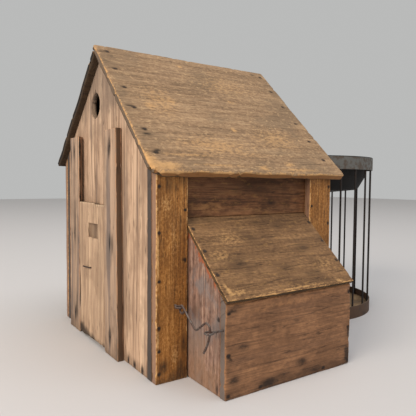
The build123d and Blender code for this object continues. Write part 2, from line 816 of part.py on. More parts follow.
with BuildPart() as cage_bars:
    with BuildSketch(cage_level(bar_foot)):
        with Locations(
            *[(bar_radius * cos(radians(angle)), bar_radius * sin(radians(angle))) for angle in kept_angles]
        ):
            Circle(bar_diameter / 2)
    extrude(amount=cage_height - bar_foot - bar_head)
cage_bars.part.label = "cage_bars"
export_step(cage_bars.part, "parts/cage_bars.step")

for name, foot_level in (("cage_bottom_hoop", 0), ("cage_top_hoop", cage_height - hoop_height)):
    with BuildPart() as hoop:
        with BuildSketch(cage_level(foot_level)):
            Circle(cage_radius)
            Circle(cage_radius - hoop_gauge, mode=Mode.SUBTRACT)
        extrude(amount=hoop_height)
        add(cage_nails.part, mode=Mode.SUBTRACT)
    hoop.part.label = name
    export_step(hoop.part, f"parts/{name}.step")

with BuildPart() as cage_floor:
    with BuildSketch(cage_level(0)):
        Circle(cage_radius - hoop_gauge - cage_floor_play)
    extrude(amount=cage_floor_thickness)
    add(cage_bars.part, mode=Mode.SUBTRACT)
cage_floor.part.label = "cage_floor"
export_step(cage_floor.part, "parts/cage_floor.step")

# The pan hangs in the top hoop by its rim.  Its outline is its lower face, as (radius, height).
# It is three sheets joined edge to edge: a wall with a rim, a shoulder and a dished bottom.
pan_mouth = bar_radius - bar_diameter / 2 - pan_wall_play
pan_shoulder = pan_mouth - 8
pan_bottom = cage_height - pan_depth
pan_seam_height = cage_height - pan_shoulder_depth
pan_seam_radius = pan_floor_radius - 6
pan_section = Plane(
    origin=(cage_centre_x, cage_centre_y, 0), x_dir=(1, 0, 0), z_dir=(0, -1, 0)
)

with BuildPart() as whole_pan:
    with BuildSketch(pan_section):
        with BuildLine() as pan_line:
            FilletPolyline(
                (cage_radius - pan_rim_play, cage_height),
                (pan_mouth, cage_height),
                (pan_shoulder, pan_seam_height),
                (pan_floor_radius, pan_bottom + pan_dish),
                (0, pan_bottom),
                radius=(1.5, 20, 9),
            )
            offset(amount=pan_gauge, side=Side.RIGHT)
        make_face()
        Rectangle(2 * cage_radius, 2 * cage_height, align=(Align.MIN, Align.MIN), mode=Mode.INTERSECT)
    revolve(axis=cage_axis, revolution_arc=360)

with BuildPart() as cage_pan_wall:
    add(whole_pan.part)
    split(bisect_by=cage_level(pan_seam_height), keep=Keep.TOP)
cage_pan_wall.part.label = "cage_pan_wall"
export_step(cage_pan_wall.part, "parts/cage_pan_wall.step")

with BuildPart() as cage_pan_bottom:
    with BuildSketch(cage_level(pan_bottom)):
        Circle(pan_seam_radius)
    extrude(amount=pan_shoulder_depth)
    add(whole_pan.part, mode=Mode.INTERSECT)
cage_pan_bottom.part.label = "cage_pan_bottom"
export_step(cage_pan_bottom.part, "parts/cage_pan_bottom.step")

with BuildPart() as cage_pan_shoulder:
    add(whole_pan.part)
    split(bisect_by=cage_level(pan_seam_height), keep=Keep.BOTTOM)
    add(cage_pan_bottom.part, mode=Mode.SUBTRACT)
cage_pan_shoulder.part.label = "cage_pan_shoulder"
export_step(cage_pan_shoulder.part, "parts/cage_pan_shoulder.step")
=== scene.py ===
"""Looks for the weathered bird house with a sliding door, a nest box and a wire cage."""

import json
import math

import bpy
import numpy as np
from mathutils import Matrix, Vector


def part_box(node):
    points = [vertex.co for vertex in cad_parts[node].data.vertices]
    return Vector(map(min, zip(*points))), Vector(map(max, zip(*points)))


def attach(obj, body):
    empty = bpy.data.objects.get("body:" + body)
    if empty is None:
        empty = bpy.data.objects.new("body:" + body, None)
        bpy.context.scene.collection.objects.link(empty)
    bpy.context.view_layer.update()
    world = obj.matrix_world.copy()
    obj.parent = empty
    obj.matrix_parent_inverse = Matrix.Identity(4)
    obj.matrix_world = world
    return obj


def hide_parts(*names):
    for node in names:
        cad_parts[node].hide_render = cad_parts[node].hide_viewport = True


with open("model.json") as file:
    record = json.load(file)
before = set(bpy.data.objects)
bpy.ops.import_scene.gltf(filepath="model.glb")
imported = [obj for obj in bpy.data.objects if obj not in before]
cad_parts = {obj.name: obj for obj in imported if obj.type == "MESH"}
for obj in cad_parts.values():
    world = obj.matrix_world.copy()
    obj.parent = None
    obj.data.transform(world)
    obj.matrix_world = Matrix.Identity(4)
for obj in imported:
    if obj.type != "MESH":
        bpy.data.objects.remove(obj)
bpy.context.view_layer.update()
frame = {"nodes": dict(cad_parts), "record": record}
nodes = frame["nodes"]
openings = {o["name"]: np.array(o["box_m"]) for o in frame["record"]["physics"]["openings"]}
MM = 0.001
X, Y, Z = np.eye(3)


def cad_points(node):
    """A CAD node's mesh points as an array of rows."""
    flat = np.empty(len(nodes[node].data.vertices) * 3, np.float32)
    nodes[node].data.vertices.foreach_get("co", flat)
    return flat.reshape(-1, 3).astype(float)


def top_at(node, y):
    """The greatest height of a CAD node's points that lie at y."""
    points = cad_points(node)
    return points[np.abs(points[:, 1] - y) < 0.05 * MM, 2].max()


# ------------------------------------------------------------------ planks

# Distances from an edge at which a plank's grid has lines, to carry the edge's rounding.
NEAR_EDGE = np.array([0, 0.25, 0.6, 1.1, 1.9, 3.2]) * MM
# Nail head points closer together than this count as one.
HEAD_GRID = 0.4 * MM
# The kinds of face on a plank: its front, its long edges, its end grain and its back.
FRONT, SIDE, END, UNDER = range(4)


def grid_lines(length, step, creases=()):
    """Lines from 0 to a length about a step apart, crowded beside both ends and each crease."""
    stops = sorted({0.0, float(length), *(float(c) for c in creases if 0 < c < length)})
    found = []
    for low, high in zip(stops[:-1], stops[1:]):
        if high - low < 3 * NEAR_EDGE[-1]:
            found.append(np.linspace(low, high, 8))
            continue
        count = max(2, int(round((high - low - 2 * NEAR_EDGE[-1]) / step)) + 1)
        middle = np.linspace(low + NEAR_EDGE[-1], high - NEAR_EDGE[-1], count)
        found += [low + NEAR_EDGE[:-1], middle, high - NEAR_EDGE[:-1][::-1]]
    return np.unique(np.round(np.concatenate(found), 7))


def drift(x, y, wave, seed, count=5):
    """Smooth unevenness from -1 to 1: a mean of sine waves of about one wavelength, whose
    directions and phases come from the seed."""
    draw = np.random.default_rng(seed)
    total = np.zeros(np.broadcast(x, y).shape)
    for _ in range(count):
        turn, phase = draw.uniform(0, math.pi), draw.uniform(0, 2 * math.pi)
        each = wave * draw.uniform(0.6, 1.6)
        total += np.sin((x * math.cos(turn) + y * math.sin(turn)) * 2 * math.pi / each + phase)
    return total / count


def rounded(distance, radius):
    """Depth of an edge worn to a quarter circle: r - sqrt(r^2 - (r - d)^2) for d under r."""
    reach = np.clip(radius - distance, 0, radius)
    return radius - np.sqrt(np.maximum(radius**2 - reach**2, 0))


def heads_in_face(origin, across, along, out, names):
    """Places (across, along) of the nail head points that lie in a board's face."""
    points = np.concatenate([cad_points(name) for name in names] or [np.zeros((0, 3))]) - origin
    points = points[np.abs(points @ out) < 0.3 * MM]
    flat = np.stack([points @ across, points @ along], 1)
    return np.unique(np.round(flat / HEAD_GRID), axis=0) * HEAD_GRID


def spots(a, b, places):
    """The strongest at each point of bell curves given as (across, along, half width, half
    length, strength), with lengths in mm."""
    total = np.zeros(a.shape)
    for across, along, wide, long, strength in places:
        bell = ((a / MM - across) / wide) ** 2 + ((b / MM - along) / long) ** 2
        total = np.maximum(total, strength * np.exp(-bell))
    return total


def plank(node, material, slot, body, origin, across, along, width, length, thickness, seed,
          creases=((), ()), warp=None, keep=None, snap=None, opening_rim=None, front=None,
          back=None, slant=(0, 0), wear=1.1, step=4.0, wobble=0.3, cup=0.3, nails=(),
          stain_mm=(2.0, 6.0), marks=(), scuffs=(), worn_edges=(1, 1, 1, 1)):
    """A worn board that replaces a CAD board.

    Its front is a grid of (a, b), across and along the grain from the origin corner.  A point
    lies at origin + a across + b along - depth out, where out is across x along.  The depth is
    the rounding of the nearest edge, whose radius varies along it, plus a shallow cup across
    the width, plus low waves that run with the grain, plus the front function.  The back is the
    same at full thickness, and a wall of two quads joins them round every outline.  A slant is
    how far the far edge across, or along, moves outward for each unit of depth.  Each edge
    looks worn in proportion to its share in worn_edges: near side, far side, near end, far end.
    """
    out = np.cross(across, along)
    heads = heads_in_face(origin, across, along, out, nails)
    heads = heads[(heads > MM).all(1) & (heads < np.array((width, length)) - MM).all(1)]
    a, b = np.meshgrid(np.union1d(grid_lines(width, step * MM, creases[0]), heads[:, 0]),
                       np.union1d(grid_lines(length, step * MM, creases[1]), heads[:, 1]),
                       indexing="ij")
    sides = np.stack([a, width - a, b, length - b])
    rim = sides.min(0)
    far_a, far_b = a > width / 2, b > length / 2
    inward = wobble * MM * np.exp(-rim / (6 * MM))
    aa = a + inward * np.clip(drift(b, a * 0.2, 0.07, seed + 1), 0, 1) * np.where(far_a, -1, 1)
    bb = b + inward * np.clip(drift(a, b * 0.2, 0.05, seed + 2), 0, 1) * np.where(far_b, -1, 1)
    if warp is not None:
        aa, bb = warp(aa, bb)
    rows, columns = a.shape
    kept = np.ones((rows - 1, columns - 1), bool)
    if keep is not None:
        mid_a = (aa[:-1, :-1] + aa[1:, 1:] + aa[:-1, 1:] + aa[1:, :-1]) / 4
        mid_b = (bb[:-1, :-1] + bb[1:, 1:] + bb[:-1, 1:] + bb[1:, :-1]) / 4
        kept = keep(mid_a, mid_b)
    if snap is not None:
        beside = np.zeros((2, rows, columns), bool)
        for da in (0, 1):
            for db in (0, 1):
                beside[0, da:rows - 1 + da, db:columns - 1 + db] |= kept
                beside[1, da:rows - 1 + da, db:columns - 1 + db] |= ~kept
        snapped_a, snapped_b = snap(aa, bb)
        on_outline = beside.all(0)
        aa, bb = np.where(on_outline, snapped_a, aa), np.where(on_outline, snapped_b, bb)
    if opening_rim is not None:
        rim = np.minimum(rim, np.maximum(opening_rim(aa, bb), 0))

    chips = np.clip(drift(aa, bb, 0.011, seed + 6, 4) - 0.4, 0, 1) * 4
    radius = wear * MM * (1 + 0.6 * drift(aa, bb, 0.045, seed + 3) + chips)
    rounding = rounded(rim, radius)
    ripple = 0.08 * MM * (1 + drift(aa * 9, bb, 0.16, seed + 4, 7))
    hollow = 0.5 - 2 * (a / width - 0.5) ** 2 + 0.5 * drift(aa, bb, 0.3, seed + 5)
    front_depth = rounding + ripple + np.clip(cup * MM * hollow, 0, None)
    back_depth = thickness - rounding - ripple
    sunk = np.zeros(a.shape)
    if front is not None:
        extra = front(aa, bb)
        # How far the front is set back, full at 3 mm; the material darkens it as painted shade in
        # recesses.
        sunk = np.clip(extra / (3 * MM), 0, 1)
        front_depth = front_depth + extra
    if back is not None:
        back_depth = back_depth - back(aa, bb)

    lean_a = slant[0] * np.clip(2 * a / width - 1, 0, 1)
    lean_b = slant[1] * np.clip(2 * b / length - 1, 0, 1)
    layers = []
    for depth in (front_depth, back_depth, (front_depth + back_depth) / 2):
        place_a, place_b = aa + lean_a * depth, bb + lean_b * depth
        layers.append(origin + place_a[..., None] * across + place_b[..., None] * along
                      - depth[..., None] * out)
    points = np.concatenate([layer.reshape(-1, 3) for layer in layers])

    index = np.arange(rows * columns).reshape(rows, columns)
    half = rows * columns
    cells = (index[:-1, :-1], index[1:, :-1], index[1:, 1:], index[:-1, 1:])
    corners = [cell[kept] for cell in cells]
    quads = [np.stack(corners, 1), np.stack(corners[::-1], 1) + half]
    kinds = [np.repeat((FRONT, UNDER), len(corners[0]))]
    padded = np.pad(kept, 1)
    walls = (
        (padded[:-2, 1:-1], index[:-1, 1:], index[:-1, :-1], SIDE),
        (padded[2:, 1:-1], index[1:, :-1], index[1:, 1:], SIDE),
        (padded[1:-1, :-2], index[:-1, :-1], index[1:, :-1], END),
        (padded[1:-1, 2:], index[1:, 1:], index[:-1, 1:], END),
    )
    for beyond, first, second, kind in walls:
        edge_cells = kept & ~beyond
        p, q = first[edge_cells], second[edge_cells]
        quads.append(np.stack([q, p, p + 2 * half, q + 2 * half], 1))
        quads.append(np.stack([q + 2 * half, p + 2 * half, p + half, q + half], 1))
        kinds.append(np.full(2 * len(p), kind))
    quads, kinds = np.concatenate(quads), np.concatenate(kinds)

    outward = np.where(far_a, 1, -1) * thickness
    uv = [np.stack([(aa + outward * share).ravel(), bb.ravel()], 1) for share in (0, 1, 0.5)]
    counted = (sides / np.maximum(np.array(worn_edges, float), 1e-3)[:, None, None]).min(0)
    if opening_rim is not None:
        counted = np.minimum(counted, rim + np.where(sides.min(0) <= rim, 1.0, 0.0))
    edge = counted.ravel() / MM
    nail_marks = [(*(head / MM), *stain_mm, 1.0) for head in heads]
    stain = spots(aa, bb, [*nail_marks, *marks]).ravel()
    rubs = spots(aa, bb, scuffs).ravel()
    none = np.zeros(half)
    used, compact = np.unique(quads, return_inverse=True)
    quads = compact.reshape(quads.shape)

    mesh = bpy.data.meshes.new(node + "_worn")
    mesh.from_pydata(points[used].tolist(), [], quads.tolist())
    mesh.polygons.foreach_set("use_smooth", np.ones(len(quads), bool))
    mesh.materials.append(material)
    shift = np.random.default_rng(seed).uniform(0, 3, 2)
    corner_uv = np.concatenate(uv)[used][quads.ravel()] + shift
    mesh.uv_layers.new(name="board").data.foreach_set("uv", corner_uv.astype(np.float32).ravel())
    values = {
        "edge": ("POINT", np.concatenate([edge, edge, edge])[used]),
        "iron": ("POINT", np.concatenate([stain, none, none])[used]),
        "sunk": ("POINT", np.concatenate([sunk.ravel(), none, sunk.ravel()])[used]),
        "scuff": ("POINT", np.concatenate([rubs, none, none])[used]),
        "side": ("FACE", kinds == SIDE),
        "under": ("FACE", kinds == UNDER),
        "end": ("FACE", kinds == END),
    }
    for label, (domain, data) in values.items():
        mesh.attributes.new(label, "FLOAT", domain).data.foreach_set("value", data.astype(np.float32))
    piece = bpy.data.objects.new(node + "_worn", mesh)
    bpy.context.scene.collection.objects.link(piece)
    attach(piece, body)
    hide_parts(node)
    return piece


# ------------------------------------------------------------------ materials


def linear(code):
    """An sRGB hex colour as linear RGBA."""
    parts = [int(code[k:k + 2], 16) / 255 for k in (0, 2, 4)]
    return [c / 12.92 if c <= 0.04045 else ((c + 0.055) / 1.055) ** 2.4 for c in parts] + [1.0]


def add_node(tree, kind, settings=None, inputs=None):
    """Adds one node, sets its properties, and sets or links its inputs by name or number."""
    made = tree.nodes.new(kind)
    for key, value in (settings or {}).items():
        setattr(made, key, value)
    for key, value in (inputs or {}).items():
        if isinstance(value, bpy.types.NodeSocket):
            tree.links.new(value, made.inputs[key])
        else:
            made.inputs[key].default_value = value
    return made


def new_material(name):
    """An empty node material with its output, as (material, tree, output)."""
    material = bpy.data.materials.new(name)
    material.use_nodes = True
    material.node_tree.nodes.clear()
    output = material.node_tree.nodes.new("ShaderNodeOutputMaterial")
    return material, material.node_tree, output


def grain_noise(tree, place, across_mm, along_mm, detail, roughness, offset):
    """Noise whose features are so many millimetres across the grain and along it."""
    scaled = add_node(tree, "ShaderNodeMapping", {}, {
        "Vector": place,
        "Location": (offset, offset * 1.7, offset * 0.3),
        "Scale": (1 / (across_mm * MM), 1 / (along_mm * MM), 1 / (across_mm * MM)),
    }).outputs[0]
    return add_node(tree, "ShaderNodeTexNoise", {}, {
        "Vector": scaled, "Scale": 1.0, "Detail": detail, "Roughness": roughness,
    }).outputs[0]


def total_of(tree, terms, start=0.0):
    """The start value plus each value times its weight."""
    for value, weight in terms:
        start = add_node(tree, "ShaderNodeMath", {"operation": "MULTIPLY_ADD"}, {
            0: value, 1: weight, 2: start,
        }).outputs[0]
    return start


def layered(tree, shade, layers):
    """Colours laid one over another, and the masks that they were laid with.

    A layer is its colour, the terms of a total, the totals at which it begins to show and is at
    full strength, and that strength.  Its mask is the smooth step between the two totals."""
    masks = {}
    for name, (colour, terms, begins, full, strength) in layers.items():
        masks[name] = add_node(tree, "ShaderNodeMapRange", {"interpolation_type": "SMOOTHSTEP"}, {
            "Value": total_of(tree, terms), "From Min": begins, "From Max": full, "To Max": strength,
        }).outputs[0]
        shade = add_node(tree, "ShaderNodeMix", {"data_type": "RGBA"}, {
            0: masks[name], 6: shade, 7: linear(colour),
        }).outputs[2]
    return shade, masks


def weathered_wood(name, pale, middle, dark, ring_mm=8.0, ring_wander=3.0, ring=0.1, grain=0.7,
                   grain_mm=9.0, fibre=0.5, mottle=0.5, mottle_mm=(9.0, 3.0),
                   blotch="705a48", blotch_amount=0.4, blotch_mm=45.0,
                   streak="5b524c", streak_amount=0.3, worn="e4c5a0", worn_mm=1.5, worn_amount=0.6,
                   foot="3c2d20", foot_mm=30.0, foot_amount=0.5, flecks=0.0, fleck="d6b27c",
                   fleck_mm=(16.0, 6.0), end="4a3f37", end_amount=0.6, side="4a3f37",
                   side_amount=0.0, under="3a2b20", under_amount=0.0, crown="8a7968",
                   crown_amount=0.0, crown_from=0.27, cracks=0.5, specks=0.5,
                   iron=0.85, roughness=0.78, bump=0.5):
    """Softwood board, sawn, stained and left out: growth bands that wander, fibres that run
    along the board, fine cracks, uneven stain, rubbed edges, damp at the foot and iron-black
    nail marks.  Bands are their real width; fibres are drawn 1.2 mm wide, coarser than the
    real tenth of a millimetre, so that they show."""
    material, tree, output = new_material(name)
    uv = add_node(tree, "ShaderNodeUVMap", {"uv_map": "board"}).outputs[0]
    wander = grain_noise(tree, uv, 70, 260, 2.0, 0.5, 1.0)
    coarse = grain_noise(tree, uv, grain_mm, grain_mm * 22, 3.0, 0.55, 3.1)
    fine = grain_noise(tree, uv, 1.2, 40, 3.0, 0.65, 7.7)
    patches = grain_noise(tree, uv, blotch_mm, blotch_mm * 1.6, 4.0, 0.62, 11.0)
    streaks = grain_noise(tree, uv, 12, 260, 3.0, 0.6, 17.0)
    lines = grain_noise(tree, uv, 7, 190, 2.0, 0.5, 23.0)
    pits = grain_noise(tree, uv, 1.6, 3.0, 3.0, 0.7, 29.0)
    mottles = grain_noise(tree, uv, mottle_mm[1], mottle_mm[0], 4.0, 0.7, 43.0)
    scuffs = grain_noise(tree, uv, fleck_mm[1], fleck_mm[0], 5.0, 0.78, 37.0)

    height = add_node(tree, "ShaderNodeSeparateXYZ", {}, {
        0: add_node(tree, "ShaderNodeTexCoord").outputs["Object"],
    }).outputs[2]
    across = add_node(tree, "ShaderNodeSeparateXYZ", {}, {0: uv}).outputs[0]
    turned = total_of(tree, ((wander, 4 * math.pi * ring_wander), (across, 2 * math.pi / (ring_mm * MM))))
    rings = add_node(tree, "ShaderNodeMath", {"operation": "SINE"}, {0: turned}).outputs[0]
    off_line = add_node(tree, "ShaderNodeMath", {"operation": "ABSOLUTE"}, {
        0: total_of(tree, ((lines, 1.0),), -0.5),
    }).outputs[0]
    edge, scuffed, stained, sunk, on_side, on_back, on_end = (
        add_node(tree, "ShaderNodeAttribute", {"attribute_name": label}).outputs["Fac"]
        for label in ("edge", "scuff", "iron", "sunk", "side", "under", "end"))

    tone = total_of(tree, ((coarse, grain), (rings, ring / 2), (mottles, mottle), (fine, fibre)),
                    (1 - grain - mottle - fibre) / 2)
    ramp_node = add_node(tree, "ShaderNodeValToRGB", {}, {0: tone})
    stops = ramp_node.color_ramp.elements
    stops[0].color, stops[1].color = linear(dark), linear(pale)
    stops.new(0.5).color = linear(middle)
    stops[0].position, stops[2].position = 0.1, 0.9

    foot_m = foot_mm * MM
    shade, masks = layered(tree, ramp_node.outputs[0], {
        "blotch": (blotch, ((patches, 1),), 0.46, 0.62, blotch_amount),
        "streak": (streak, ((streaks, 1),), 0.52, 0.66, streak_amount),
        "fleck": (fleck, ((scuffs, 1),), 0.54, 0.66, flecks),
        "worn": (worn, ((edge, 1), (scuffs, 11 * worn_mm)), 6.5 * worn_mm, 5.5 * worn_mm, worn_amount),
        "foot": (foot, ((height, 1), (patches, -3 * foot_m)), -0.5 * foot_m, -1.3 * foot_m, foot_amount),
        "crown": (crown, ((height, 1), (patches, 0.12)), crown_from + 0.06, crown_from + 0.18,
                  crown_amount),
        # Side, back and end faces take their own colours: on most boards the wood's own, but the sides of
        # the battens, door and lid, the roof boards' backs and the back roof board's ends are painted
        # shade.
        "side": (side, ((on_side, 1),), 0, 1, side_amount),
        "under": (under, ((on_back, 1),), 0, 1, under_amount),
        "end": (end, ((on_end, 1),), 0, 1, end_amount),
        "crack": ("1f160f", ((off_line, 1),), 0.012, 0.002, cracks),
        "pit": ("21170f", ((pits, 1),), 0.66, 0.74, specks),
        # Set-back parts, the door's notch and tongues, are darkened as painted shade.
        "hollow": ("3a2a1e", ((sunk, 1),), 0, 1, 0.55),
        "scuff": (worn, ((scuffed, 1), (mottles, 2)), 1.15, 2, 0.7),
        "iron": ("17120f", ((stained, 1), (mottles, 1.6)), 0.9, 1.8, iron),
    })

    relief = total_of(tree, ((rings, 0.12), (fine, 0.6), (masks["crack"], -1.6)), tone)
    normal = add_node(tree, "ShaderNodeBump", {}, {
        "Strength": bump, "Distance": 0.5 * MM, "Height": relief,
    }).outputs[0]
    gloss = add_node(tree, "ShaderNodeMapRange", {"interpolation_type": "SMOOTHSTEP"}, {
        "Value": patches, "From Min": 0.3, "From Max": 0.7,
        "To Min": roughness - 0.1, "To Max": roughness + 0.1,
    }).outputs[0]
    shader = add_node(tree, "ShaderNodeBsdfPrincipled", {}, {
        "Base Color": shade, "Roughness": gloss, "Normal": normal, "Specular IOR Level": 0.3,
    })
    tree.links.new(shader.outputs[0], output.inputs[0])
    return material


def rusted_metal(name, bare, brown, dust, rust_mm, rust_amount, metallic, roughness, bump=0.4):
    """Iron or steel, drawn or rolled, with brown rust in patches and pale dust on what faces
    up.  Rust patches are a few millimetres wide, and pits are drawn 0.8 mm wide."""
    material, tree, output = new_material(name)
    place = add_node(tree, "ShaderNodeTexCoord").outputs["Object"]
    patches = grain_noise(tree, place, rust_mm, rust_mm, 5.0, 0.65, 5.0)
    pits = grain_noise(tree, place, 0.8, 0.8, 3.0, 0.6, 9.0)
    normal = add_node(tree, "ShaderNodeNewGeometry").outputs["Normal"]
    upward = add_node(tree, "ShaderNodeSeparateXYZ", {}, {0: normal}).outputs[2]
    shade, masks = layered(tree, linear(bare), {
        "rust": (brown, ((patches, 1),), 0.56 - 0.3 * rust_amount, 0.68 - 0.2 * rust_amount, 0.95),
        "dust": (dust, ((upward, 1),), 0.2, 1, 0.5),
        "pit": ("150f0c", ((pits, 1),), 0.58, 0.72, 0.6),
    })
    relief = add_node(tree, "ShaderNodeBump", {}, {
        "Strength": bump, "Distance": 0.2 * MM,
        "Height": total_of(tree, ((masks["rust"], 0.6),), pits),
    }).outputs[0]
    shader = add_node(tree, "ShaderNodeBsdfPrincipled", {}, {"Base Color": shade, "Normal": relief})
    for socket, clean, rusty in (("Roughness", roughness, 0.85), ("Metallic", metallic, 0.05)):
        mixed = add_node(tree, "ShaderNodeMapRange", {"interpolation_type": "SMOOTHSTEP"}, {
            "Value": masks["rust"], "To Min": clean, "To Max": rusty,
        }).outputs[0]
        tree.links.new(mixed, shader.inputs[socket])
    tree.links.new(shader.outputs[0], output.inputs[0])
    return material


# Bare pine boards, sawn and left outdoors: pinkish tan going silver, with soft upright bands.
gable_pine = weathered_wood(
    "bare_gable_pine", "e0c0a0", "c09f84", "8b6f58", ring_mm=10, ring=0.2, grain=1.5, grain_mm=11,
    fibre=0.7, mottle=0.5, mottle_mm=(50.0, 3.0), blotch="8f745f", blotch_amount=0.55,
    streak="756357", streak_amount=0.6, worn="cbaa8a", worn_amount=0.3, worn_mm=0.9,
    foot="5c4433", foot_mm=24, end="5f5147", crown="75665a", crown_amount=0.75)
# The door is paler, because hands have scrubbed it, and its foot is rotted black.
door_pine = weathered_wood(
    "scrubbed_door_pine", "d4b594", "b4957a", "8f745c", ring_mm=14, ring=0.16, grain=1.2,
    grain_mm=13, fibre=0.7, mottle=0.7, mottle_mm=(34.0, 5.0), blotch="967b64",
    blotch_amount=0.55, streak="84705e", streak_amount=0.4, worn="dfc6a4", worn_amount=0.45,
    # The door's side faces are darkened as painted shade of the gaps beside the battens.
    foot="231a13", foot_mm=18, foot_amount=0.9, end="2b2018", side="4c392b", side_amount=0.8)
# Battens have the same face. Their sides are painted dark as painted shade: brown on the near batten,
# black on the far batten, whose side lies in the shaded groove beside the door.
BATTEN = {
    "grain": 1.2, "fibre": 0.6, "mottle": 0.5, "mottle_mm": (36.0, 3.0), "blotch": "84705f",
    "blotch_amount": 0.55, "streak": "575254", "streak_amount": 0.6, "worn": "b98a64",
    "worn_amount": 0.5, "worn_mm": 1.2, "foot": "54402f", "end": "6d5d50",
}
batten_pine = weathered_wood(
    "batten_pine_shaded_sides", "c7a68a", "a98d76", "7c6554", side="4a3728", side_amount=0.88, **BATTEN)
far_batten_pine = weathered_wood(
    "batten_pine_shadow_black_sides", "c7a68a", "a98d76", "7c6554", side="0f0b09", side_amount=1.0,
    **BATTEN)
# Pine under old orange varnish, worn golden and dirty at the foot; its sides stayed bare.
varnished_pine = weathered_wood(
    "old_varnished_pine", "cf9656", "9b662f", "573113", ring_mm=6, ring=0.08, grain=0.6, fibre=0.9,
    mottle=1.3, mottle_mm=(3.6, 2.2), blotch="6e4520", blotch_amount=0.45, blotch_mm=26,
    streak="59391b", streak_amount=0.35, worn="dcae74", worn_mm=1.1, worn_amount=0.75,
    foot="241811", foot_mm=20, foot_amount=0.6, flecks=0.4, fleck="cf9850",
    fleck_mm=(7.0, 2.6), side="8f6e5c", side_amount=0.88, end="4a3626", specks=1.0,
    roughness=0.58, bump=0.6)
# Long walls under the eave: dark walnut brown, with grey-black end grain.
wall_pine = weathered_wood(
    "walnut_stained_wall_pine", "9c6e49", "70492e", "3f2817", ring_mm=16, ring_wander=7,
    ring=0.1, grain=0.8, grain_mm=14, fibre=0.8, mottle=0.9, mottle_mm=(12.0, 5.0),
    blotch="3b271a", blotch_amount=0.5, blotch_mm=55, streak="3a2b22", worn="9a6f45",
    worn_amount=0.3, flecks=0.35, fleck="a0763f", end="45413f", end_amount=0.9, roughness=0.7)
# Roof boards: brown stain bleached grey-gold by sun and scuffed to bare golden wood.
ROOF = {
    "ring_mm": 13, "ring_wander": 4, "ring": 0.08, "grain": 0.9, "grain_mm": 10, "fibre": 0.9,
    "mottle": 1.1, "mottle_mm": (7.0, 3.2), "blotch": "7d6852", "blotch_amount": 0.6,
    "blotch_mm": 60, "streak": "6b5640", "streak_amount": 0.3, "foot_amount": 0.0,
    "flecks": 0.6, "fleck": "c9a67c", "fleck_mm": (10.0, 6.0), "cracks": 0.3, "bump": 0.6,
    # The boards' undersides are painted near-black as painted shade under the eaves.
    "under": "241a13", "under_amount": 0.85,
}
roof_pine = weathered_wood(
    "sun_worn_roof_pine", "bc9c78", "98795a", "68513a", worn="d2a26a", worn_mm=2.2,
    worn_amount=0.75, end="5f5349", end_amount=0.9, side="80522a", side_amount=0.75, **ROOF)
# The back board's ends are painted nearly black as painted shade: its overhang is seen from below, in
# shade.
back_roof_pine = weathered_wood(
    "roof_pine_shadow_black_ends", "bd9b70", "9b7b57", "6b533a", worn="8d6c48", worn_mm=1.2,
    worn_amount=0.3, end="14100e", end_amount=1.0, side="6b4a2c", side_amount=0.75, **ROOF)
# Nest box front: reddish walnut stain, dark at the foot and round the nails.
box_walnut = weathered_wood(
    "walnut_stained_box_pine", "b3825a", "8a6244", "5d402b", ring_mm=18, ring_wander=9,
    ring=0.1, grain=0.7, grain_mm=13, fibre=0.9, mottle=0.9, mottle_mm=(7.0, 4.0),
    blotch="694a34", blotch_amount=0.4, blotch_mm=42, streak="6e4f3b", streak_amount=0.35,
    worn="ad7c53", worn_mm=1.3, worn_amount=0.5, foot="38271c", foot_mm=12,
    foot_amount=0.5, end="6b625d", end_amount=0.9, side="5a4132", side_amount=0.5,
    roughness=0.68)
# Nest box sides: the stain has faded to a greyish pink, with a rubbed reddish upper edge.
box_side_pine = weathered_wood(
    "faded_box_side_pine", "b99a86", "8a6c5d", "573f34", ring=0.08, grain=0.8, grain_mm=10,
    fibre=0.9, mottle=1.2, mottle_mm=(8.0, 4.0), blotch="7f7775", blotch_amount=0.7,
    blotch_mm=26, streak="744d3b", streak_amount=0.65, worn="9f5734", worn_mm=6.5,
    worn_amount=0.9, foot="8f6a4a", foot_mm=60, foot_amount=0.5, end="5a4132", side="5a4132",
    side_amount=0.6)
# Nest box lid: dark brown stain, scuffed, with golden front and side edges.
lid_pine = weathered_wood(
    "scuffed_lid_pine", "a27c54", "7c5b3c", "4e3824", ring_mm=12, ring_wander=4, ring=0.06,
    grain=0.8, fibre=0.9, mottle=1.1, mottle_mm=(5.0, 2.8), blotch="553f2e",
    blotch_amount=0.45, blotch_mm=30, streak="54402b", worn="d6a66c", worn_mm=0.9,
    worn_amount=0.9, foot_amount=0.0, flecks=0.45, fleck="ab824e", fleck_mm=(12.0, 4.5),
    # The lid's side faces, including the front edge that faces down, are painted near-black as painted
    # shade.
    end="2b2018", end_amount=0.85, side="1f1711", side_amount=0.9, bump=0.6)
# Rough pine floor boards inside, soiled.
floor_pine = weathered_wood(
    "soiled_floor_pine", "b59672", "967753", "6d5236", blotch="5a452f", blotch_amount=0.6,
    foot_amount=0.0)
# Sheet iron, rolled: grey scale on the upper hoop, brown rust on the lower one; the pan is painted
# near-black as painted shade under the hoop.
hoop_iron = rusted_metal("grey_sheet_iron", "6a6965", "55493f", "9a958d", 9, 0.4, 0.3, 0.6)
foot_hoop_iron = rusted_metal("rusted_sheet_iron", "43352c", "5a4231", "8a7765", 9, 0.9, 0.2, 0.75)
pan_iron = rusted_metal("shade_blackened_pan_iron", "080707", "100c0a", "161412", 14, 0.5, 0.0, 0.85)
bar_wire = rusted_metal("blackened_bar_wire", "2a2624", "2a1d16", "4a443e", 6, 0.5, 0.5, 0.5)
# Hook and eyes: drawn steel wire, bright where rubbed and rusty elsewhere.
hook_wire = rusted_metal("rusty_hook_wire", "645b56", "432a1e", "82766e", 5, 0.55, 0.6, 0.45)
pull_wire = rusted_metal("rusty_pull_nail", "2b2421", "3a261c", "4a3d34", 3, 0.7, 0.4, 0.6)
brad_iron = rusted_metal("rusted_brad_iron", "2a2320", "2c1c14", "4a3d34", 2, 0.8, 0.3, 0.7)

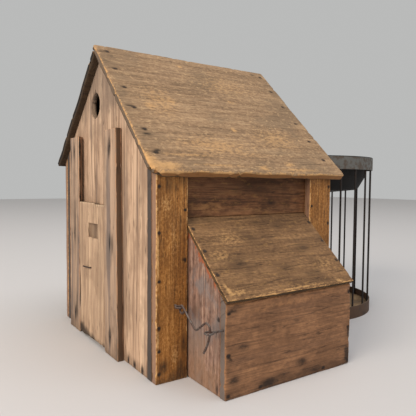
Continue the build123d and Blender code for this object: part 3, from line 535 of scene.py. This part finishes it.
# ------------------------------------------------------------------ where the boards meet the roof

DOOR_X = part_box("corner_board_latch")[0].x
CAGE_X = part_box("corner_board_nest_cage")[1].x
NEST_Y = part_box("corner_board_latch")[0].y
BACK_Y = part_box("corner_board_back_door")[1].y

roof_line = {}
for name in ("corner_board_latch", "gable_narrow_board", "gable_side_board", "gable_centre_board",
             "gable_back_board", "corner_board_back_door"):
    low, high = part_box(name)
    for y in (low.y, high.y):
        roof_line[round(y, 6)] = top_at(name, y)
peak = cad_points("gable_centre_board")
peak = peak[peak[:, 2].argmax()]
roof_line[round(peak[1], 6)] = peak[2]
roof_ys = np.array(sorted(roof_line))
roof_zs = np.array([roof_line[y] for y in roof_ys])
NEST_RISE = (roof_zs[1] - roof_zs[0]) / (roof_ys[1] - roof_ys[0])
BACK_RISE = (roof_zs[-2] - roof_zs[-1]) / (roof_ys[-1] - roof_ys[-2])


def under_roof(start_y, turn, length, straight):
    """A warp that leaves a board as it is below a height, and stretches what is above it so
    that its top, at the given length, comes to the roof: b' = s + (b - s)(roof - s)/(L - s)."""
    def warp(a, b):
        roof = np.interp(start_y + turn * a, roof_ys, roof_zs)
        stretched = straight + (b - straight) * (roof - straight) / (length - straight)
        return a, np.where(b > straight, stretched, b)
    return warp


def gable_board(node, face_x, turn, seed, straight=0.12, **extra):
    """An upright board of a gable; turn is -1 on the door gable and +1 on the cage gable."""
    low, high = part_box(node)
    start_y = high.y if turn < 0 else low.y
    plank(node, gable_pine, "grey_pine", "house", np.array((face_x, start_y, low.z)), turn * Y, Z,
          high.y - low.y, high.z - low.z, high.x - low.x, seed,
          warp=under_roof(start_y, turn, high.z - low.z, straight), **extra)


# ------------------------------------------------------------------ door gable

gable_nails = ("floor_brads", "batten_nails")
gable_board("gable_narrow_board", DOOR_X, -1, 11, nails=gable_nails)
gable_board("gable_side_board", DOOR_X, -1, 12, nails=gable_nails)
gable_board("gable_back_board", DOOR_X, -1, 13, nails=gable_nails)

centre_low, centre_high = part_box("gable_centre_board")
hole_box = openings["entrance_hole"].mean(0)
HOLE_A, HOLE_B = centre_high.y - hole_box[1], hole_box[2]
HOLE_RADIUS = 18 * MM
# A stated opening is 2 mm clear of the edges of the way that is cut for it.
CLEAR = 2 * MM
way_low, way_high = openings["doorway"]
WAY_A = (centre_high.y - way_high[1] - CLEAR, centre_high.y - way_low[1] + CLEAR)
WAY_B = (way_low[2] - CLEAR, way_high[2] + CLEAR)


def hole_reach(a, b):
    """The entrance hole's edge radius in the direction of a point.  It was bored by hand, a
    few tenths of a millimetre uneven, with a pecked nick 4.5 mm deep at the top: the radius plus
    a bell curve about the top and sines of three and seven times the angle."""
    angle = np.arctan2(b - HOLE_B, a - HOLE_A)
    nick = 4.5 * MM * np.exp(-((angle - math.pi / 2) / 0.17) ** 2)
    return HOLE_RADIUS + nick + 0.25 * MM * np.sin(3 * angle + 1) + 0.15 * MM * np.sin(7 * angle)


def inside_of(a, b, range_a, range_b):
    """How far a point is inside a rectangle, from its nearest side; negative outside."""
    return np.minimum.reduce([a - range_a[0], range_a[1] - a, b - range_b[0], range_b[1] - b])


def centre_keep(a, b):
    """True where the centre board is solid."""
    return (inside_of(a, b, WAY_A, WAY_B) < 0) & (np.hypot(a - HOLE_A, b - HOLE_B) > hole_reach(a, b))


def centre_snap(a, b):
    """Points beside the hole moved straight out or in to its edge."""
    x, z = a - HOLE_A, b - HOLE_B
    distance = np.hypot(x, z) + 1e-9
    near = distance < HOLE_RADIUS + 9 * MM
    scale = np.where(near, hole_reach(a, b) / distance, 1)
    return HOLE_A + x * scale, HOLE_B + z * scale


def centre_rim(a, b):
    """Distance from the nearer of the doorway's edge and the hole's edge."""
    from_hole = np.hypot(a - HOLE_A, b - HOLE_B) - hole_reach(a, b)
    return np.minimum(np.abs(inside_of(a, b, WAY_A, WAY_B)), from_hole)


hole_lines = np.arange(-24, 24.1, 4) * MM
gable_board("gable_centre_board", DOOR_X, -1, 14, straight=0.2, nails=gable_nails,
            creases=((*WAY_A, *(HOLE_A + hole_lines)), (*WAY_B, *(HOLE_B + hole_lines * 1.25))),
            keep=centre_keep, snap=centre_snap, opening_rim=centre_rim)

# Battens: upright, with the edge away from the door sloping in towards the top.  Marks on a
# board are places in mm across and along it, their half width and half length, and a strength.
BATTEN_FOOT, BATTEN_HEAD = 44 * MM, 38 * MM
BATTEN_MARKS = {
    "door_batten_nest": ((16, 271, 3, 14, 1), (28, 149, 3, 18, 1), (27, 37, 2, 9, 0.8)),
    "door_batten_back": ((9, 271, 3, 16, 0.9), (26, 155, 4, 60, 0.8), (32, 47, 4, 40, 0.8)),
}
REBATE_WIDTH, REBATE_DEPTH = 6.5 * MM, 4.8 * MM
for node, door_side, seed in (("door_batten_nest", 0, 21), ("door_batten_back", 1, 22)):
    low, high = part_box(node)
    height = high.z - low.z

    def taper(a, b):
        """Width falls in a straight line from foot to head; the rebated strip keeps its own."""
        from_door = BATTEN_FOOT - a if door_side else a
        share = 1 - (BATTEN_FOOT - BATTEN_HEAD) / (BATTEN_FOOT - REBATE_WIDTH) * b / height
        beyond = np.clip(from_door - REBATE_WIDTH, 0, None) * share
        moved = np.minimum(from_door, REBATE_WIDTH) + beyond
        return (BATTEN_FOOT - moved if door_side else moved), b

    def rebate(a, b):
        """A step behind the edge beside the door, for the door's tongue."""
        from_door = BATTEN_FOOT - a if door_side else a
        return np.where(from_door < REBATE_WIDTH, REBATE_DEPTH, 0)

    crease = BATTEN_FOOT - REBATE_WIDTH if door_side else REBATE_WIDTH
    plank(node, far_batten_pine if door_side else batten_pine, "grey_pine", "house",
          np.array((low.x, high.y, 0)), -Y, Z, BATTEN_FOOT, height, high.x - low.x, seed,
          creases=((crease,), ()), warp=taper, back=rebate, nails=("batten_nails",),
          stain_mm=(2.2, 13), wear=1.3, worn_edges=(1, 1, 0, 1), marks=BATTEN_MARKS[node])

# Sliding door: a face with a set-back tongue each side, a finger notch and a rotted foot.
low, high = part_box("sliding_door")
DOOR_WIDTH, DOOR_TALL = high.y - low.y, high.z
# The tongues are drawn 0.5 mm wider than they are, so that the step beside them clears the battens.
TONGUE, TONGUE_THICKNESS, WORN_IN = 6.5 * MM, 4 * MM, 3 * MM
NOTCH_WIDTH, NOTCH_HEIGHT, NOTCH_DEPTH = 40 * MM, 21 * MM, 4 * MM
door_base = low.z
NOTCH_OFF_MIDDLE, NOTCH_FROM_TOP = 7 * MM, 29 * MM
notch_middle = DOOR_WIDTH / 2 + NOTCH_OFF_MIDDLE
NOTCH_A = (notch_middle - NOTCH_WIDTH / 2, notch_middle + NOTCH_WIDTH / 2)
notch_high = DOOR_TALL - door_base - NOTCH_FROM_TOP
NOTCH_B = (notch_high - NOTCH_HEIGHT, notch_high)
door_thickness = high.x - low.x


def door_foot(a, b):
    """The foot is eaten to an uneven line: it rises by waves of about 34 and 9 mm, up to 7 mm,
    which die out 40 mm up.  The top's nest-side part is 1.6 mm lower than the rest."""
    level = np.zeros(a.shape)
    rise = 3.2 * MM * (1 + drift(a, level, 0.034, 31, 3)) + 1.0 * MM * drift(a, level, 0.009, 32, 4)
    rise = np.clip(rise, 0, None) * np.clip(1 - b / (40 * MM), 0, 1)
    step_down = 1.6 * MM * (a > 0.62 * DOOR_WIDTH) * np.clip((b - 150 * MM) / (40 * MM), 0, 1)
    return a, b + rise - step_down


def door_depth(a, b):
    """Set-back tongues at both sides, the hollow worn into the back edge, and the notch."""
    height = b + door_base
    worn = WORN_IN * np.clip(1 - ((height - 67.5 * MM) / (32.5 * MM)) ** 2, 0, 1)
    inside = np.minimum(a - TONGUE - worn, DOOR_WIDTH - TONGUE - a)
    depth = np.where(inside < 0, door_thickness - TONGUE_THICKNESS, rounded(inside, 1.3 * MM))
    in_notch = np.clip(inside_of(a, b, NOTCH_A, NOTCH_B) / (0.5 * MM), 0, 1)
    return depth + NOTCH_DEPTH * in_notch


plank("sliding_door", door_pine, "grey_pine", "door", np.array((low.x, high.y, door_base)), -Y, Z,
      DOOR_WIDTH, DOOR_TALL - door_base, door_thickness, 30,
      creases=((TONGUE, TONGUE + WORN_IN, DOOR_WIDTH - TONGUE, *NOTCH_A), NOTCH_B),
      warp=door_foot, front=door_depth, cup=0.15, wear=0.8)

# ------------------------------------------------------------------ cage gable, corners and long walls

gable_board("cage_gable_nest_board", CAGE_X, 1, 15, nails=("floor_brads",))
gable_board("cage_gable_back_board", CAGE_X, 1, 16, nails=("floor_brads",))
cage_board_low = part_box("cage_gable_centre_board")[0]
pass_low, pass_high = openings["cage_passage"]
PASS_A = (pass_low[1] - CLEAR - cage_board_low.y, pass_high[1] + CLEAR - cage_board_low.y)
PASS_B = (pass_low[2] - CLEAR, pass_high[2] + CLEAR)


def outside_of(range_a, range_b):
    """A test for what is solid round a rectangular way, and the distance from its edge."""
    def solid(a, b):
        return inside_of(a, b, range_a, range_b) < 0

    def rim(a, b):
        return np.abs(inside_of(a, b, range_a, range_b))

    return solid, rim


solid, rim_of = outside_of(PASS_A, PASS_B)
gable_board("cage_gable_centre_board", CAGE_X, 1, 17, straight=0.2, nails=("floor_brads",),
            creases=(PASS_A, PASS_B), keep=solid, opening_rim=rim_of)

# Dirt at the latch corner's foot and head, and bare wood along its outer edge.
LATCH_CORNER_MARKS = {
    "marks": ((9, 19, 8, 9, 0.9), (31, 12, 5, 12, 0.8), (36, 40, 5, 14, 0.7), (36, 141, 3, 3, 0.9),
              (17, 225, 12, 9, 0.5), (34, 232, 6, 10, 0.5), (2, 98, 2, 5, 0.7)),
    "scuffs": ((24, 30, 5, 12, 0.6), (22, 165, 5, 25, 0.4), (2, 150, 1.5, 40, 0.9),
               (2, 50, 1.5, 14, 1), (12, 205, 8, 14, 0.5)),
}
for node, seed in (("corner_board_latch", 41), ("corner_board_nest_cage", 42),
                   ("corner_board_back_door", 43), ("corner_board_back_cage", 44)):
    low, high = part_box(node)
    nest_side = low.y < 0
    corner = np.array((low.x, low.y, 0) if nest_side else (high.x, high.y, 0))
    face_y = NEST_Y if nest_side else BACK_Y
    plank(node, varnished_pine, "varnished_pine", "house", corner, X if nest_side else -X, Z,
          high.x - low.x, top_at(node, face_y), high.y - low.y, seed,
          slant=(0, NEST_RISE if nest_side else BACK_RISE), nails=("corner_brads",),
          stain_mm=(0.6, 0.9), wear=1.0, wobble=0.6,
          **(LATCH_CORNER_MARKS if node == "corner_board_latch" else {}))

for node, nest_side, seed in (("nest_wall_upper", True, 51), ("nest_wall_lower", True, 52),
                              ("back_wall_upper", False, 53), ("back_wall_lower", False, 54)):
    low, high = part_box(node)
    face_y = low.y if nest_side else high.y
    corner = np.array((high.x if nest_side else low.x, face_y, low.z))
    upper = node.endswith("upper")
    rise = (NEST_RISE if nest_side else BACK_RISE) if upper else 0
    extra = {}
    if node == "nest_wall_lower":
        way_low, way_high = openings["nest_passage"]
        range_a = (way_low[2] - CLEAR, way_high[2] + CLEAR)
        range_b = (high.x - way_high[0] - CLEAR, high.x - way_low[0] + CLEAR)
        solid, rim_of = outside_of(range_a, range_b)
        extra = {"creases": (range_a, range_b), "keep": solid, "opening_rim": rim_of}
    if node == "nest_wall_upper":
        extra = {"marks": ((17, 103, 6, 8, 0.75), (36, 140, 12, 90, 0.45)),
                 "scuffs": ((12, 205, 5, 28, 0.8), (27, 170, 4, 30, 0.6), (8, 120, 4, 40, 0.5))}
    plank(node, wall_pine, "dark_pine", "house", corner, Z, -X if nest_side else X,
          (top_at(node, face_y) if upper else high.z) - low.z, high.x - low.x, high.y - low.y, seed,
          slant=(rise, 0), wear=0.8, **extra)

low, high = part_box("floor_board")
plank("floor_board", floor_pine, "grey_pine", "house", np.array((low.x, high.y, high.z)), -Y, X,
      high.y - low.y, high.x - low.x, high.z - low.z, 61, step=6)

# ------------------------------------------------------------------ roof boards

WORN_CORNER, EASED_CORNER = 16 * MM, 5 * MM


def round_corner(a, b, corner_a, corner_b, radius, far):
    """Moves a square patch at a corner onto a quarter disc: a point at (p, q) from the arc's
    centre is scaled by max(p, q) / sqrt(p^2 + q^2)."""
    p = radius - (a - corner_a)
    q = radius - (corner_b - b if far else b - corner_b)
    near = (p > 0) & (q > 0)
    scale = np.where(near, np.maximum(p, q) / np.maximum(np.hypot(p, q), 1e-9), 1)
    new_q = q * scale
    new_b = corner_b - radius + new_q if far else corner_b + radius - new_q
    return np.where(near, corner_a + radius - p * scale, a), np.where(near, new_b, b)


# Nail slots opened by rust beside the door end, and rubbed places, from the eave up.
ROOF_MARKS = {
    "marks": ((35, 290, 1.6, 5, 1), (62, 293, 2.2, 7, 1.3), (116, 297, 2.2, 7, 1.3),
              (169, 300, 1.6, 8, 1), (210, 302, 2, 7, 0.7), (233, 302, 3, 7, 0.7),
              (109, 37, 3, 5, 0.7), (239, 37, 4, 7, 0.7), (226, 290, 8, 20, 0.4)),
    "scuffs": ((226, 182, 3, 5, 1.2), (84, 156, 4, 4, 1.1), (10, 146, 4, 9, 1.2), (225, 132, 2, 8, 0.8),
               (205, 131, 10, 2, 0.7), (120, 269, 9, 9, 0.8), (133, 233, 8, 10, 0.7),
               (17, 305, 16, 7, 1.2), (9, 290, 8, 22, 1.1), (18, 97, 4, 9, 0.9),
               (29, 250, 2, 40, 0.8), (34, 157, 2, 45, 0.7), (8, 85, 4, 40, 0.8),
               (49, 312, 24, 3, 1.0), (12, 210, 3, 50, 0.7), (150, 129, 4, 8, 0.7),
               (48, 200, 22, 70, 0.55), (130, 250, 40, 30, 0.5), (70, 90, 26, 50, 0.5),
               (190, 120, 30, 60, 0.4)),
}
for node, nest_side, seed in (("nest_roof_board", True, 71), ("back_roof_board", False, 72)):
    points = cad_points(node)
    low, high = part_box(node)
    eave = points[points[:, 1].argmin() if nest_side else points[:, 1].argmax()]
    ridge = points[points[:, 2].argmax()]
    rise_y, rise_z = ridge[1] - eave[1], ridge[2] - eave[2]
    slope_length = math.hypot(rise_y, rise_z)
    up_slope = np.array((0, rise_y, rise_z)) / slope_length
    along = -X if nest_side else X
    out = np.cross(up_slope, along)
    thickness = -((points - eave) @ out).min()
    ridge_x = points[points[:, 2] > high.z - 0.2 * MM, 0]
    taper_off = high.x - ridge_x.max()
    board_length = high.x - low.x
    start = np.array((high.x if nest_side else low.x, eave[1], eave[2]))

    def outline(a, b):
        """The cage end slopes in towards the ridge; both corners at the eave are rounded."""
        share = taper_off * a / slope_length
        if not nest_side:
            return a, b * (board_length - share) / board_length
        a, b = round_corner(a, b, 0, board_length, WORN_CORNER, True)
        a, b = round_corner(a, b, 0, 0, EASED_CORNER, False)
        return a, share + b * (board_length - share) / board_length

    extra = {}
    if nest_side:
        extra = {"creases": ((WORN_CORNER,), (board_length - WORN_CORNER,)),
                 "worn_edges": (1, 0.6, 0.6, 0.35), **ROOF_MARKS}
    plank(node, roof_pine if nest_side else back_roof_pine, "dark_pine", "house", start, up_slope,
          along, slope_length, board_length, thickness, seed, warp=outline, wear=2.2, cup=0.5,
          nails=("roof_nails",), stain_mm=(0.8, 2.6), wobble=1.8, **extra)

# ------------------------------------------------------------------ nest box

side_low, side_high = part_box("nest_box_left_side")
inner_top = top_at("nest_box_left_side", side_low.y)
LID_RISE = (side_high.z - inner_top) / (side_high.y - side_low.y)
BOX_SIDE_MARKS = ((40, 7, 2, 9, 1), (69, 7, 2.5, 7, 1.2), (71, 84, 2, 3, 1.3), (26, 84, 9, 12, 0.5),
                  (66, 60, 6, 30, 0.4))
for node, turn, seed in (("nest_box_left_side", -1, 81), ("nest_box_right_side", 1, 82)):
    low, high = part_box(node)
    corner = np.array((low.x, high.y, 0) if turn < 0 else (high.x, low.y, 0))
    start_y = corner[1]

    def under_lid(a, b):
        """The top follows the lid: heights are scaled by its height over the board's own."""
        top = inner_top + (start_y + turn * a - low.y) * LID_RISE
        return a, b * top / high.z

    plank(node, box_side_pine, "box_walnut", "nest_box", corner, turn * Y, Z, high.y - low.y, high.z,
          high.x - low.x, seed, warp=under_lid, worn_edges=(0, 0, 0, 1), wear=1.3,
          marks=BOX_SIDE_MARKS, scuffs=((26, 110, 5, 30, 0.3),))

low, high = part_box("nest_box_front")
plank("nest_box_front", box_walnut, "box_walnut", "nest_box", np.array((high.x, low.y, 0)), Z, -X,
      top_at("nest_box_front", low.y), high.x - low.x, high.y - low.y, 83, slant=(LID_RISE, 0),
      nails=("nest_box_brads",), stain_mm=(0.8, 1.6), wear=1.6, wobble=0.8, worn_edges=(1, 1, 1, 0.3),
      marks=((95, 189, 1.6, 7, 1.3), (98, 181, 5, 12, 0.7), (53, 187, 1.8, 7, 1.3),
             (54, 172, 5, 12, 0.8), (44, 189, 2, 2, 1.2), (20, 84, 6, 10, 0.9), (10, 112, 4, 12, 0.8),
             (7, 134, 6, 14, 1.1), (14, 5, 12, 5, 1.1), (20, 184, 7, 8, 0.9), (70, 94, 3, 6, 0.7),
             (40, 3, 6, 3, 0.9), (6, 60, 4, 14, 0.6)),
      scuffs=((93, 100, 3, 60, 0.5), (90, 150, 4, 20, 0.5)))
low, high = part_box("nest_box_floor")
plank("nest_box_floor", floor_pine, "box_walnut", "nest_box", np.array((low.x, high.y, high.z)), -Y, X,
      high.y - low.y, high.x - low.x, high.z - low.z, 84, step=6)

points = cad_points("nest_box_lid")
low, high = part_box("nest_box_lid")
lid_front = points[points[:, 1].argmin()]
lid_back = points[points[:, 2].argmax()]
lid_run = np.array((0, lid_back[1] - lid_front[1], lid_back[2] - lid_front[2]))
up_lid = lid_run / np.linalg.norm(lid_run)
lid_thickness = -((points - lid_front) @ np.cross(up_lid, -X)).min()
plank("nest_box_lid", lid_pine, "box_walnut", "nest_box",
      np.array((high.x, lid_front[1], lid_front[2])), up_lid, -X, np.linalg.norm(lid_run),
      high.x - low.x, lid_thickness, 85, slant=(-up_lid[2] / up_lid[1], 0), wear=1.0, cup=0.5,
      wobble=0.8, nails=("nest_box_brads",), stain_mm=(0.8, 1.5), worn_edges=(1, 0, 0.6, 0.35),
      marks=((46, 155, 11, 17, 0.55), (60, 48, 9, 16, 0.55), (107, 95, 5, 10, 0.5),
             (98, 64, 7, 12, 0.5), (84, 120, 8, 22, 0.4), (36, 100, 9, 26, 0.4), (20, 60, 8, 30, 0.35)),
      scuffs=((9, 180, 3, 12, 1.0), (13, 190, 9, 3, 1.0), (4, 23, 3, 6, 1.1), (60, 175, 10, 16, 0.5),
              (84, 150, 12, 28, 0.45), (4, 90, 2, 60, 0.8), (30, 30, 10, 20, 0.4)))

# ------------------------------------------------------------------ cage floor and the ironwork

low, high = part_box("cage_floor")
floor_radius = (high.x - low.x) / 2


def to_disc(a, b):
    """Squares about the middle become circles: a point is scaled by max(|x|, |y|) over its
    distance."""
    x, y = a - floor_radius, b - floor_radius
    scale = np.maximum(np.abs(x), np.abs(y)) / np.maximum(np.hypot(x, y), 1e-9)
    return floor_radius + x * scale, floor_radius + y * scale


plank("cage_floor", floor_pine, "cage_pine", "house", np.array((low.x, high.y, high.z)), -Y, X,
      2 * floor_radius, 2 * floor_radius, high.z - low.z, 91, warp=to_disc, step=6, wobble=0)

for material, names in (
    (hook_wire, ("latch_hook", "post_screw_eye", "box_screw_eye")),
    (pull_wire, ("door_pull_nail",)),
    (bar_wire, ("cage_bars",)),
    (hoop_iron, ("cage_top_hoop",)),
    (foot_hoop_iron, ("cage_bottom_hoop",)),
    (pan_iron, ("cage_pan_wall", "cage_pan_shoulder", "cage_pan_bottom")),
    (brad_iron, ("corner_brads", "floor_brads", "roof_nails", "batten_nails", "cage_nails",
                 "nest_box_brads")),
):
    for name in names:
        nodes[name].data.materials.clear()
        nodes[name].data.materials.append(material)

# ------------------------------------------------------------------ camera, light and floor

# The camera's place is measured from the foot of the latch corner; angles are in degrees.
CAMERA_FROM_CORNER = Vector((-0.2400, -0.4605, 0.2290))
CAMERA_YAW, CAMERA_PITCH, CAMERA_ROLL = (math.radians(v) for v in (33.85, -3.04, 0.41))
LENS_MM = 40.39

ahead = Vector((math.sin(CAMERA_YAW) * math.cos(CAMERA_PITCH),
                math.cos(CAMERA_YAW) * math.cos(CAMERA_PITCH), math.sin(CAMERA_PITCH)))
right = Vector((math.cos(CAMERA_YAW), -math.sin(CAMERA_YAW), 0))
above = right.cross(ahead)
rolled_right = right * math.cos(CAMERA_ROLL) + above * math.sin(CAMERA_ROLL)
rolled_above = above * math.cos(CAMERA_ROLL) - right * math.sin(CAMERA_ROLL)

camera_data = bpy.data.cameras.new("studio_camera")
camera_data.lens = LENS_MM
camera_data.sensor_width = 36.0
camera_data.clip_start, camera_data.clip_end = 0.01, 20.0
camera = bpy.data.objects.new("studio_camera", camera_data)
camera.matrix_world = Matrix.Translation(Vector((DOOR_X, NEST_Y, 0)) + CAMERA_FROM_CORNER) @ Matrix(
    (rolled_right, rolled_above, -ahead)).transposed().to_4x4()
bpy.context.scene.collection.objects.link(camera)
bpy.context.scene.camera = camera


def area_light(name, place, target, size, power, colour):
    """A square soft light aimed at a point."""
    data = bpy.data.lights.new(name, "AREA")
    data.size = size
    data.energy = power
    data.color = linear(colour)[:3]
    light = bpy.data.objects.new(name, data)
    light.location = place
    light.rotation_euler = (Vector(target) - Vector(place)).to_track_quat("-Z", "Y").to_euler()
    bpy.context.scene.collection.objects.link(light)


area_light("window_left", (-3.6, -1.1, 2.1), (0, 0, 0.15), 2.6, 138, "fff4e6")
area_light("sky_above", (0.4, -1.4, 4.2), (0, 0, 0.1), 3.6, 84, "f4f8ff")

world = bpy.data.worlds.new("studio")
world.use_nodes = True
world.node_tree.nodes["Background"].inputs[0].default_value = linear("f2f3f2")
world.node_tree.nodes["Background"].inputs[1].default_value = 0.55
bpy.context.scene.world = world
bpy.context.scene.view_settings.view_transform = "Standard"

floor_material, floor_tree, floor_output = new_material("pale_studio_floor")
floor_shader = add_node(floor_tree, "ShaderNodeBsdfPrincipled", {}, {
    "Base Color": linear("cecac8"), "Roughness": 0.8,
})
floor_tree.links.new(floor_shader.outputs[0], floor_output.inputs[0])
floor_mesh = bpy.data.meshes.new("studio_floor")
floor_mesh.from_pydata([(-6, -6, 0), (6, -6, 0), (6, 6, 0), (-6, 6, 0)], [], [(0, 1, 2, 3)])
floor_mesh.materials.append(floor_material)
floor = bpy.data.objects.new("studio_floor", floor_mesh)
bpy.context.scene.collection.objects.link(floor)
